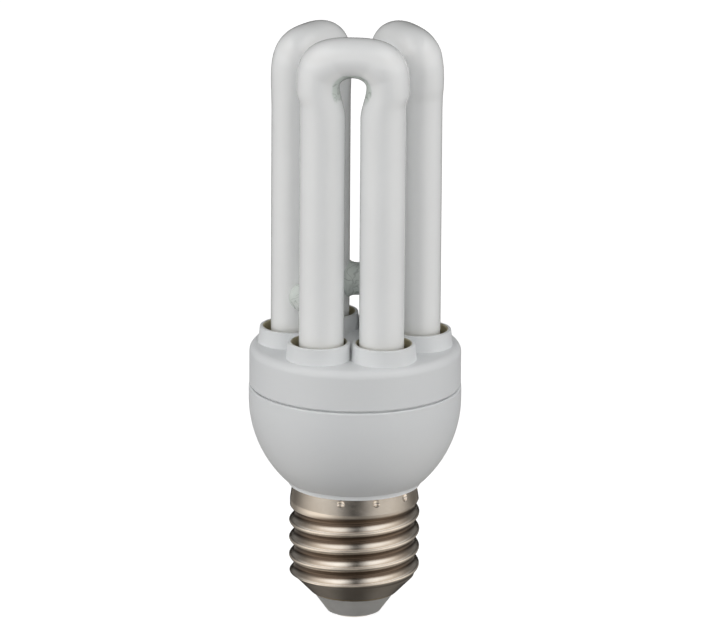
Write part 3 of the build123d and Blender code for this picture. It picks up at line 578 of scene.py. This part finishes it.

# %% [markdown]
# ## Nickel-plated shell
# The screw shell is thin brass, rolled to the thread's shape and plated with nickel. The plating
# has a warm tone, painted shade darkens its grooves and the faces turned down, and bare brass
# shows at the cut edge.
# Rolling leaves very fine lines round the cap. An anisotropic shader could draw those lines; a
# stretched noise in the roughness and the bump does it for less.

# %% Nickel
cut_edge_z = 5.0 * MM
cut_edge_fade = 0.15 * MM
cone_top_z = 8.4 * MM
thread_top_z = 23.0 * MM
thread_fade = 0.8 * MM
groove_r = 12.3 * MM
crest_r = 12.8 * MM
slope_gain = 0.3 * MM
material, tree, shader, place = start_material("nickel plate")
shader.inputs["Metallic"].default_value = 1.0
plating = two_tones(tree, place, (0.70, 0.655, 0.60), (0.64, 0.59, 0.53), 220.0)
parts = xyz(tree, place)
# Painted shade: the grooves, and more so the faces turned down, are darkened towards a near-black brown.
facing_up = xyz(tree, place.node.outputs["Normal"])["Z"]
reach = calc(tree, "ADD", flat_length(tree, parts["X"], parts["Y"]), product(tree, facing_up, slope_gain))
groove = ramp(tree, reach, groove_r, crest_r, 1.0, 0.0)
above_cone = ramp(tree, parts["Z"], cone_top_z, cone_top_z + thread_fade)
below_skirt = ramp(tree, parts["Z"], thread_top_z, thread_top_z + thread_fade, 1.0, 0.0)
groove_shade_share = product(tree, groove, above_cone, below_skirt)
groove_shaded = mix_colour(tree, groove_shade_share, plating, (0.12, 0.09, 0.068, 1))
cut_edge = ramp(tree, parts["Z"], cut_edge_z, cut_edge_z + cut_edge_fade, 1.0, 0.0)
connect(tree, mix_colour(tree, cut_edge, groove_shaded, (0.80, 0.66, 0.42, 1)), shader.inputs["Base Color"])
drawn = node(tree, "ShaderNodeMapping", Vector=place, Scale=(0.15, 0.15, 1.0))
lines = node(tree, "ShaderNodeTexNoise", Vector=drawn.outputs["Vector"], Scale=5000.0, Detail=2.0)
connect(tree, ramp(tree, lines.outputs["Fac"], 0.3, 0.7, 0.19, 0.24), shader.inputs["Roughness"])
bump(tree, shader, lines.outputs["Fac"], 0.03, 0.00001)
give(material, "screw_shell")

# %% [markdown]
# ## Insulator and parts inside
# A cone of pale grey glass-filled plastic closes the cap and carries the centre contact. The
# ballast is sealed in, so the photograph doesn't show it. Its parts still get the finish that such
# parts have, because the model may be taken apart later. Each could get a node tree of its own,
# but they differ in a few numbers only, so one table of colours, gloss and grain makes them all.

# %% Grained finishes
grained_finishes = [
    # name, two tones, their scale, roughness, metallic, grain scale, relief, wearers
    ("pale insulator", (0.56, 0.55, 0.53), (0.50, 0.49, 0.47), 180, 0.45, 0, 3000, 0.15,
     ["cap_insulator"]),
    ("contact plate", (0.66, 0.62, 0.57), (0.58, 0.54, 0.48), 400, 0.28, 1, 4000, 0.05,
     ["centre_contact"]),
    ("cement", (0.78, 0.76, 0.70), (0.70, 0.68, 0.61), 400, 0.8, 0, 2000, 0.4, ["tube_cement"]),
    ("board laminate", (0.42, 0.26, 0.12), (0.34, 0.20, 0.09), 400, 0.5, 0, 1800, 0.2,
     ["circuit_board"]),
    ("ferrite", (0.06, 0.06, 0.065), (0.04, 0.04, 0.045), 400, 0.55, 0, 3500, 0.3,
     ["choke_core_upper", "choke_core_lower", "feedback_ring", "drum_core"]),
    ("copper winding", (0.60, 0.24, 0.09), (0.48, 0.17, 0.06), 400, 0.3, 1, 5000, 0.5,
     ["choke_winding", "feedback_windings", "drum_coil"]),
    ("black plastic", (0.03, 0.03, 0.03), (0.02, 0.02, 0.02), 400, 0.4, 0, 3000, 0.15,
     ["choke_bobbin", "transistor_front", "transistor_rear"]),
    ("capacitor sleeve", (0.03, 0.05, 0.10), (0.02, 0.035, 0.07), 400, 0.35, 0, 1500, 0.1,
     ["smoothing_capacitor"]),
    ("film resin", (0.45, 0.07, 0.03), (0.36, 0.05, 0.02), 400, 0.3, 0, 1200, 0.2,
     ["film_capacitor"]),
    ("blue resin", (0.05, 0.16, 0.42), (0.04, 0.12, 0.34), 400, 0.3, 0, 1200, 0.2,
     ["disc_capacitor"]),
    ("resistor body", (0.62, 0.50, 0.32), (0.54, 0.42, 0.26), 400, 0.4, 0, 2500, 0.15,
     ["resistors"]),
    ("diode glass", (0.40, 0.10, 0.05), (0.30, 0.07, 0.04), 400, 0.15, 0, 1500, 0.05,
     ["rectifier_diodes", "trigger_diode"]),
    ("heat sleeve", (0.70, 0.68, 0.62), (0.62, 0.60, 0.54), 400, 0.6, 0, 2500, 0.3,
     ["fusible_resistor"]),
    ("tinned wire", (0.72, 0.71, 0.69), (0.64, 0.63, 0.61), 400, 0.25, 1, 4000, 0.1,
     ["wrap_pins", "electrode_leads"]),
    ("wire insulation", (0.62, 0.05, 0.03), (0.52, 0.04, 0.02), 400, 0.4, 0, 2500, 0.1,
     ["live_lead", "neutral_lead"]),
]
for *values, wearers in grained_finishes:
    give(grained_finish(*values), *wearers)

# %% [markdown]
# ## Floor and background
# The photograph is cut out onto white. A floor that the camera sees as almost white keeps the
# lamp's soft shadow, which a plain white world behind the lamp would lose. Its glow reaches only
# the rays that look at it, so it throws no extra light onto the lamp.

# %% Floor and background
floor_half = 4.0
floor_glow = 0.90
world_light = 0.30


def background_rays(tree):
    """1 for the rays that look at the background: camera, glossy and transmission rays."""
    rays = tree.nodes.new("ShaderNodeLightPath").outputs
    direct = calc(tree, "MAXIMUM", rays["Is Camera Ray"], rays["Is Glossy Ray"])
    return calc(tree, "MAXIMUM", direct, rays["Is Transmission Ray"])


def matt_material(name, colour):
    material, tree, shader, _ = start_material(name)
    shader.inputs["Base Color"].default_value = (*colour, 1)
    shader.inputs["Roughness"].default_value = 0.9
    shader.inputs["Specular IOR Level"].default_value = 0.0
    return material, tree, shader


floor_mesh = bpy.data.meshes.new("floor")
corners = [(x * floor_half, y * floor_half, 0) for x, y in ((-1, -1), (1, -1), (1, 1), (-1, 1))]
floor_mesh.from_pydata(corners, [], [(0, 1, 2, 3)])
floor = add_object("floor", floor_mesh)
material, tree, shader = matt_material("pale floor", (0.34, 0.34, 0.34))
connect(tree, product(tree, background_rays(tree), floor_glow), shader.inputs["Emission Strength"])
shader.inputs["Emission Color"].default_value = (1, 1, 1, 1)
floor_mesh.materials.append(material)

world = bpy.data.worlds.new("studio")
bpy.context.scene.world = world
world.use_nodes = True
tree = world.node_tree
background = tree.nodes["Background"]
background.inputs["Color"].default_value = (1, 1, 1, 1)
connect(tree, ramp(tree, background_rays(tree), 0.0, 1.0, world_light, 1.0),
        background.inputs["Strength"])
print("floor", floor_half * 2, "m wide, world at", world_light)

# %% [markdown]
# ## Light
# Each tube has two broad soft bands, and the cap is bright on both sides with a dark middle. So the
# lamp stood between two large diffusers with a gap at the camera, as in a light tent. Two wide area
# lights stand there, and a small weak one above. They stay out of the reflections, because two even
# rectangles would look hard and flat on the metal.

# %% Soft lights
soft_lights = [
    # name, azimuth from the camera, elevation, distance, width, height, radiance
    ("left_diffuser", -65, 14, 1.1, 2.0, 1.1, 1.62),
    ("right_diffuser", 65, 14, 1.1, 2.0, 1.1, 1.49),
    ("top_light", 0, 75, 1.3, 0.8, 0.8, 0.2),
]
for name, azimuth, elevation, distance, width, height, radiance in soft_lights:
    data = bpy.data.lights.new(name, "AREA")
    data.shape = "RECTANGLE"
    data.size = width
    data.size_y = height
    data.energy = radiance * pi * width * height
    light = add_object(name, data)
    direction = towards(camera_azimuth + radians(azimuth), radians(elevation))
    light.location = camera_target + direction * distance
    light.rotation_mode = "QUATERNION"
    light.rotation_quaternion = direction.to_track_quat("Z", "Y")
    light.visible_camera = False
    light.visible_glossy = False
print("lights:", [name for name, *rest in soft_lights])

# %% [markdown]
# ## What the metal sees
# Metal shows its surroundings more than its own colour. The tent was brightest at both sides, dim
# in front and behind, and darker at middle height, and it lit the table beside the lamp. A
# panorama picture could show this, but a few curved cards with a gradient do it with no picture.
# Only reflections see them. Their materials read the share of the way round the lamp, and the share
# of the height, from the cards' UVs.


# %% Materials of the cards
def glow_material(name):
    """A black material that only glows, with the card's UVs and places."""
    material, tree, shader, place = start_material(name)
    shader.inputs["Base Color"].default_value = (0, 0, 0, 1)
    return material, tree, shader, place, xyz(tree, place.node.outputs["UV"])


def tent_side(name, strength):
    """Bright at the side and dim in front and behind, with a darker belt at middle height."""
    material, tree, shader, _, uv = glow_material(name)
    round_share, height_share = uv["X"], uv["Y"]
    above_foot = ramp(tree, height_share, 0.02, 0.08)
    front = product(tree, ramp(tree, height_share, 0.2, 0.4, 0.4, 0.0), above_foot)
    fade_start = ramp(tree, height_share, 0.2, 0.5, 0.40, 0.6)
    fade_end = ramp(tree, height_share, 0.2, 0.5, 0.85, 0.98)
    sides = product(tree, ramp(tree, round_share, 0.0, 0.28, front, 1.0),
                    ramp(tree, round_share, fade_start, fade_end, 1.0, 0.12))
    belt = product(tree, ramp(tree, height_share, 0.10, 0.22),
                   ramp(tree, height_share, 0.32, 0.5, 1.0, 0.0))
    foot = product(tree, calc(tree, "SUBTRACT", 1.0, above_foot), 0.65)
    upwards = calc(tree, "SUBTRACT", calc(tree, "SUBTRACT", 1.0, foot), product(tree, belt, 0.4))
    connect(tree, product(tree, sides, upwards, strength), shader.inputs["Emission Strength"])
    tint = mix_colour(tree, belt, (1.0, 0.98, 0.95, 1), (1.0, 0.88, 0.76, 1))
    connect(tree, tint, shader.inputs["Emission Color"])
    return material


def table_shine(name, strength):
    """The tent's light on the table: brightest just beside the lamp, faint in front of it, with a painted
    shadow at the lamp's foot.
    """
    material, tree, shader, place, uv = glow_material(name)
    distance = node(tree, "ShaderNodeVectorMath", {"operation": "LENGTH"}, Vector=place).outputs["Value"]
    front = ramp(tree, distance, 0.07, 0.12, 0.4, 0.05)
    sides = product(tree, ramp(tree, uv["X"], 0.05, 0.34, front, 1.0),
                    ramp(tree, uv["X"], 0.45, 0.85, 1.0, 0.2))
    # Painted shadow: the shine drops almost to nothing right at the lamp's foot.
    near = ramp(tree, distance, 0.014, 0.035, 0.12, 1.0)
    far = ramp(tree, distance, 0.07, 0.13, 1.0, 0.5)
    connect(tree, product(tree, sides, near, far, strength), shader.inputs["Emission Strength"])
    shader.inputs["Emission Color"].default_value = (1.0, 0.93, 0.84, 1)
    return material


wall_paper = matt_material("dark wall paper", (0.06, 0.05, 0.042))[0]
floor_paper = matt_material("dark floor paper", (0.035, 0.031, 0.028))[0]
print("papers:", wall_paper.name, "and", floor_paper.name)

# %% [markdown]
# The cards are arcs round the lamp: two tall sheets for the tent's sides, two flat ones for the
# shine on the table, and dark paper behind, above and below them. The flat ones lie a hair above
# the floor and above each other, so no two faces share a place.

# %% Shapes of the cards
card_steps = 60
round_to = 152
sheet_r = 1.2
sheet_top = 3.2
wall_r = 1.5
dark_floor_z = 0.4 * MM
shine_z = 0.6 * MM
shine_radii = (0.002, 0.03, 0.07, 0.13, 0.4, sheet_r)
shine_share = 0.92


def arcs(rows, last):
    """Points, faces and UVs of arcs from the camera to last degrees; rows are (radius, height)."""
    points, places = [], []
    for row, (radius, height) in enumerate(rows):
        for step in range(card_steps + 1):
            share = step / card_steps
            azimuth = camera_azimuth + radians(last * share)
            points.append((radius * sin(azimuth), -radius * cos(azimuth), height))
            places.append((share, row / (len(rows) - 1)))
    width = card_steps + 1
    faces = [(r * width + c, r * width + c + 1, (r + 1) * width + c + 1, (r + 1) * width + c)
             for r in range(len(rows) - 1) for c in range(card_steps)]
    return points, faces, places


def disc(radius, height):
    """Points and the one face of a disc."""
    azimuths = [camera_azimuth + 2 * pi * step / card_steps for step in range(card_steps)]
    points = [(radius * sin(a), -radius * cos(a), height) for a in azimuths]
    return points, [tuple(range(card_steps))]


def reflected_card(name, material, points, faces, places=()):
    """A card that only reflections see; places are the UVs of its points."""
    mesh = bpy.data.meshes.new(name)
    mesh.from_pydata(points, [], faces)
    mesh.materials.append(material)
    if places:
        layer = mesh.uv_layers.new(name="places")
        for loop in mesh.loops:
            layer.data[loop.index].uv = places[loop.vertex_index]
    card = add_object(name, mesh)
    card.visible_camera = False
    card.visible_diffuse = False
    card.visible_shadow = False


upright = [(sheet_r, 0.0), (sheet_r, sheet_top)]
flat = [(radius, shine_z) for radius in shine_radii]
for name, last, strength in (("left", -round_to, 1.45), ("right", round_to, 1.40)):
    reflected_card(f"{name}_sheet", tent_side(f"{name} sheet", strength), *arcs(upright, last))
    shine = table_shine(f"{name} floor shine", shine_share * strength)
    reflected_card(f"{name}_floor_card", shine, *arcs(flat, last))
wall = arcs([(wall_r, 0.0), (wall_r, sheet_top)], 360)
reflected_card("wall_card", wall_paper, *wall)
reflected_card("ceiling_card", wall_paper, *disc(wall_r, sheet_top))
reflected_card("floor_card", floor_paper, *disc(sheet_r, dark_floor_z))
